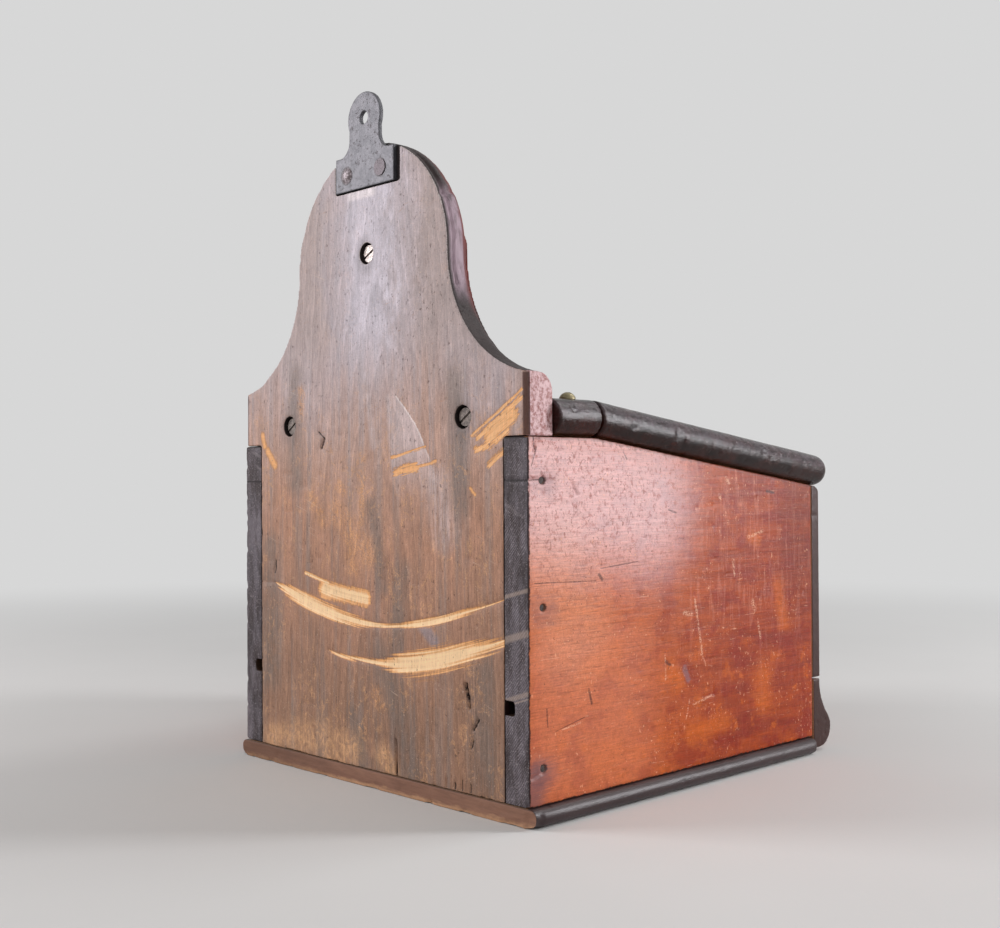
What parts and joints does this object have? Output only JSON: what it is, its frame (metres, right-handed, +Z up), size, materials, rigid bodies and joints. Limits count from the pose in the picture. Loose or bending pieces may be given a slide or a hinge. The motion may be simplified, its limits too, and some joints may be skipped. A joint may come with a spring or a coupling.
{
  "type": "salt box",
  "caption": "Wooden wall-hanging salt box with a shaped crest, a sloping hinged lid over the salt compartment and a shallow drawer with a moulded front beneath.",
  "frame": {"origin": "under the middle of the whole box, on the surface that it stands on", "axes": "+Z up, +Y out of the rear face towards the wall, -Y out of the front, +X to the right of a person who faces the front"},
  "size_m": [0.2406, 0.2556, 0.3631],
  "materials": {
    "aged_back": "unfinished, grey-brown with age",
    "polished_side": "worn varnish on red-brown wood",
    "front_wood": "worn dark varnish",
    "dark_wood": "handled dark varnish",
    "bare_wood": "unfinished",
    "plate_steel": "dull grey",
    "worn_steel": "worn and tarnished",
    "aged_brass": "tarnished",
    "nail_iron": "oxidised"
  },
  "bodies": {
    "box": {"back_board": "aged_back", "left_side": "polished_side", "right_side": "polished_side", "front_board": "front_wood", "base_board": "dark_wood", "divider_board": "bare_wood", "lid_rail": "dark_wood", "crest_roundel": "dark_wood", "hanger_plate": "plate_steel", "hanger_screw_left": "plate_steel", "hanger_screw_right": "worn_steel", "crest_screw": "worn_steel", "rail_rear_screws": "worn_steel", "rail_end_screws": "aged_brass", "left_side_nails": "nail_iron", "right_side_nails": "nail_iron", "front_board_nails": "nail_iron", "base_nails": "nail_iron", "hinge_rail_leaf_left": "aged_brass", "hinge_rail_leaf_right": "aged_brass", "hinge_pin_left": "worn_steel", "hinge_pin_right": "worn_steel", "hinge_rail_screws": "aged_brass"},
    "lid": {"lid_panel": "dark_wood", "hinge_lid_leaf_left": "aged_brass", "hinge_lid_leaf_right": "aged_brass", "hinge_lid_screws": "aged_brass"},
    "drawer": {"drawer_front": "front_wood", "drawer_left_side": "bare_wood", "drawer_right_side": "bare_wood", "drawer_back": "bare_wood", "drawer_bottom": "bare_wood", "drawer_nails": "nail_iron"}
  },
  "joints": [
    {"name": "lid_hinge", "type": "hinge", "parent": "box", "child": "lid", "pos_m": [0, 0.0791, 0.198], "axis": [-1, 0, 0], "range_deg": [0, 109]},
    {"name": "drawer_slide", "type": "slide", "parent": "box", "child": "drawer", "axis": [0, -1, 0], "range_m": [0, 0.15]}
  ]
}
